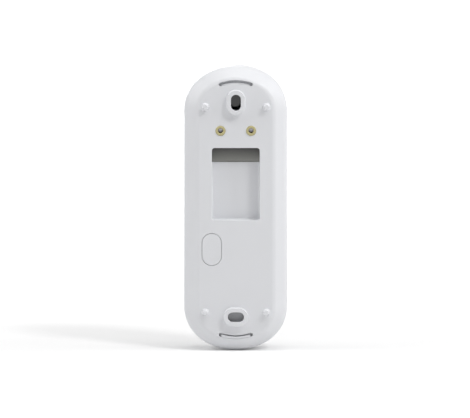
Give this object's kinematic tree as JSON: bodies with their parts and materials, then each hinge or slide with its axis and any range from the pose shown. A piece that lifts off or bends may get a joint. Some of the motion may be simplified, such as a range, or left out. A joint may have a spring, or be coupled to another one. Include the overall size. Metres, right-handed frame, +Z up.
{
  "type": "video doorbell",
  "caption": "Pill-shaped wired video doorbell with a removable front cover, push button, camera, speaker and a back with screw slots, wire terminals and a wire pocket.",
  "frame": {"origin": "on the wall plane, at the middle of the doorbell's outline", "axes": "+Z up the wall, +Y into the wall, so the camera and button face -Y; +X is a visitor's right"},
  "size_m": [0.046, 0.024, 0.127],
  "materials": {
    "white_shell": "satin",
    "white_cap": "satin",
    "white_plug": "matte",
    "black_gloss": "polished",
    "frame_plastic": "matte",
    "plate_plastic": "matte",
    "lens_plastic": "matte",
    "terminal_brass": "turned",
    "tinned_strip": "tinned",
    "screw_steel": "zinc plated",
    "shield_steel": "tinned",
    "circuit_board": "solder mask",
    "component_black": "moulded",
    "capacitor_can": "drawn",
    "grey_silicone": "matte",
    "black_silicone": "matte",
    "clear_glass": "polished",
    "filter_glass": "coated",
    "led_epoxy": "moulded",
    "light_guide": "frosted",
    "magnet_steel": "plated",
    "cone_film": "film",
    "mesh_cloth": "woven",
    "foam": "foam",
    "cell_foil": "foil",
    "ribbon_film": "film"
  },
  "bodies": {
    "base": {"rear_housing": "white_shell", "well_plate": "plate_plastic", "terminal_inserts": "terminal_brass", "terminal_straps": "tinned_strip", "inner_frame": "frame_plastic", "frame_screws": "screw_steel", "housing_seal": "grey_silicone", "main_board": "circuit_board", "board_screws": "screw_steel", "module_screws": "screw_steel", "processor_shield": "shield_steel", "power_inductor": "component_black", "power_capacitors": "capacitor_can", "wifi_antenna": "ribbon_film", "microphone": "shield_steel", "mic_boot": "black_silicone", "usb_port": "shield_steel", "reset_switch": "component_black", "backup_cell": "cell_foil", "cell_pad": "foam", "sensor_board": "circuit_board", "camera_connector": "component_black", "image_sensor": "component_black", "lens_holder": "lens_plastic", "infrared_filter": "filter_glass", "lens_barrel": "lens_plastic", "lens_elements": "clear_glass", "infrared_board": "component_black", "infrared_leds": "led_epoxy", "light_sensor": "led_epoxy", "camera_window": "clear_glass", "camera_bezel": "black_gloss", "speaker_frame": "component_black", "speaker_magnet": "magnet_steel", "speaker_cone": "cone_film", "speaker_seal": "foam", "speaker_mesh": "mesh_cloth", "speaker_contacts": "terminal_brass", "button_board": "circuit_board", "ring_leds": "led_epoxy", "switch_body": "component_black", "button_ribbon": "ribbon_film", "stem_seal": "black_silicone", "button_light_ring": "light_guide"},
    "cover": {"front_cover": "white_shell", "fascia": "black_gloss"},
    "button": {"button_cap": "white_cap"},
    "switch": {"switch_plunger": "component_black"},
    "plug": {"service_plug": "white_plug"},
    "reset": {"reset_plunger": "white_cap"}
  },
  "joints": [
    {"name": "cover_lift", "type": "slide", "parent": "base", "child": "cover", "axis": [0, -1, 0], "range_m": [0, 0.025]},
    {"name": "button_press", "type": "slide", "parent": "base", "child": "button", "axis": [0, 1, 0], "range_m": [0, 0.0004], "stiffness_N_per_m": 2000},
    {"name": "switch_press", "type": "slide", "parent": "base", "child": "switch", "axis": [0, 1, 0], "range_m": [0, 0.0004]},
    {"name": "plug_pull", "type": "slide", "parent": "base", "child": "plug", "axis": [0, 1, 0], "range_m": [0, 0.008]},
    {"name": "reset_press", "type": "slide", "parent": "base", "child": "reset", "axis": [0, -1, 0], "range_m": [0, 0.0003], "stiffness_N_per_m": 600}
  ],
  "couplings": [
    {"joint": "switch_press", "follows": "button_press", "ratio": 1}
  ]
}
